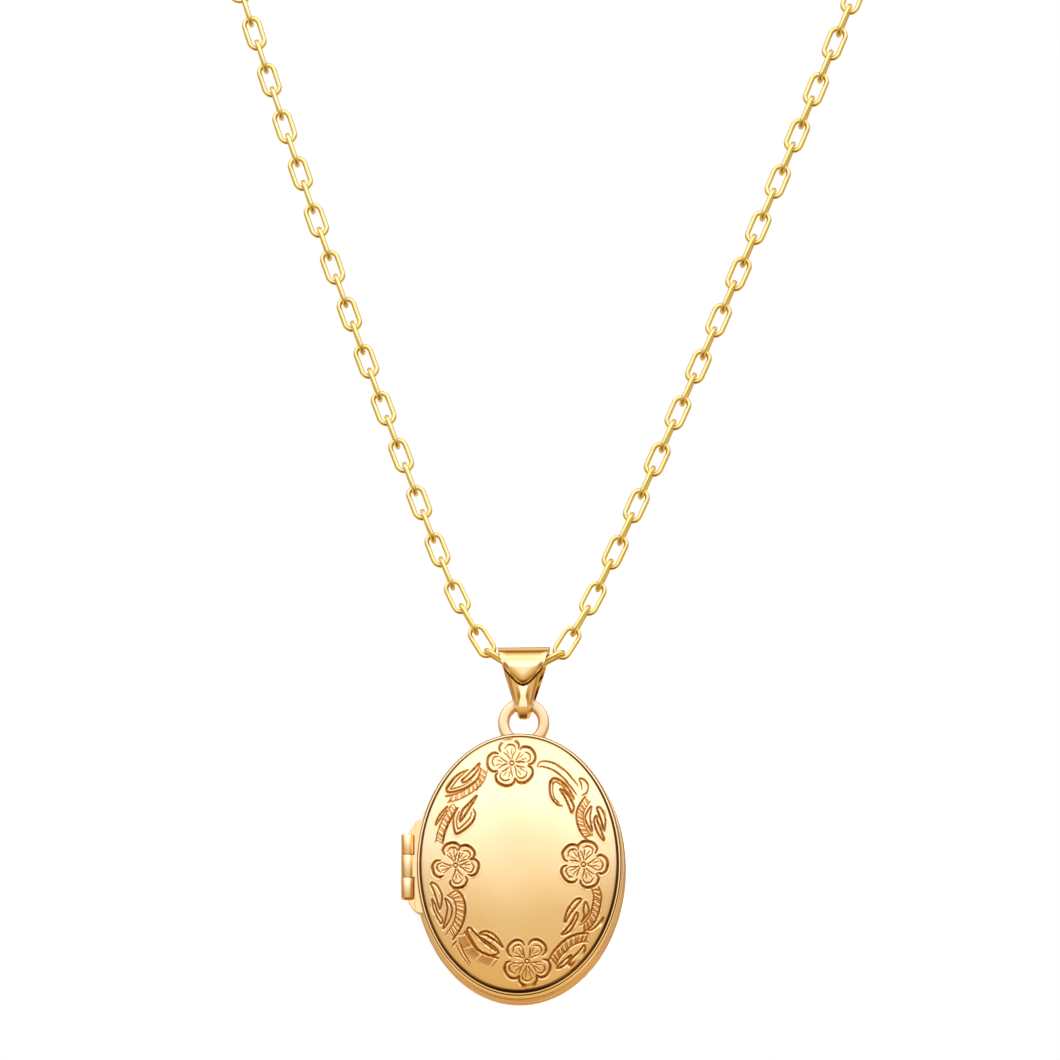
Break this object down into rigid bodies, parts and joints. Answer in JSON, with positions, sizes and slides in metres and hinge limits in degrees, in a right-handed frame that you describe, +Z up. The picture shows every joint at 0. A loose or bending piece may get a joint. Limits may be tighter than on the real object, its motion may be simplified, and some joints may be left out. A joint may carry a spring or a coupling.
{
  "type": "oval hinged locket on a cable chain",
  "caption": "Oval engraved locket that opens on a side hinge, with photo frames, pendant ring, bail and a cable chain ending in a spring-ring clasp and tag.",
  "frame": {"origin": "the point that the locket hangs by: the axis of the bail's round top, in the middle of its width, where the chain runs through", "axes": "+Z up along the hanging locket, -Y the engraved front, +X to the right seen from the front; the hinge is on the -X side"},
  "size_m": [0.0543, 0.0046, 0.0867],
  "materials": {
    "polished_gold": "polished yellow gold",
    "satin_gold": "satin yellow gold",
    "chain_gold": "polished pale yellow gold",
    "clear_acetate": "clear acetate sheet",
    "photo_paper": "plain matt paper",
    "spring_steel": "drawn steel wire"
  },
  "bodies": {
    "chain": {"chain_middle": "chain_gold", "chain_left": "chain_gold", "chain_right": "chain_gold", "left_jump_ring": "chain_gold", "right_jump_ring": "chain_gold", "clasp_body": "chain_gold", "clasp_eye": "chain_gold", "clasp_spring": "spring_steel", "end_tag": "chain_gold"},
    "lever": {"clasp_lever": "chain_gold"},
    "bail": {"bail": "polished_gold"},
    "case": {"rear_shell": "polished_gold", "closing_collar": "satin_gold", "snap_bead": "satin_gold", "pendant_ring": "satin_gold", "rear_hinge_leaf": "polished_gold", "hinge_pin": "satin_gold", "rear_photo_frame": "satin_gold", "rear_window": "clear_acetate", "rear_photo": "photo_paper"},
    "cover": {"front_cover": "polished_gold", "front_hinge_leaf": "polished_gold", "front_photo_frame": "satin_gold", "front_window": "clear_acetate", "front_photo": "photo_paper"}
  },
  "joints": [
    {"name": "bail_swing", "type": "hinge", "parent": "chain", "child": "bail", "pos_m": [0, 0, 0], "axis": [1, 0, 0], "range_deg": [-60, 60]},
    {"name": "loop_swing", "type": "hinge", "parent": "bail", "child": "case", "pos_m": [0, 0, -0.00272], "axis": [1, 0, 0], "range_deg": [-40, 40]},
    {"name": "cover_hinge", "type": "hinge", "parent": "case", "child": "cover", "pos_m": [-0.00868, -0.0005, -0.01532], "axis": [0, 0, -1], "range_deg": [0, 170]},
    {"name": "clasp_lever_slide", "type": "hinge", "parent": "chain", "child": "lever", "pos_m": [-0.02318, 0, 0.0581], "axis": [0, -1, 0], "range_deg": [0, 42], "stiffness_Nm_per_rad": 0.0005, "deforming": ["clasp_spring"]}
  ]
}
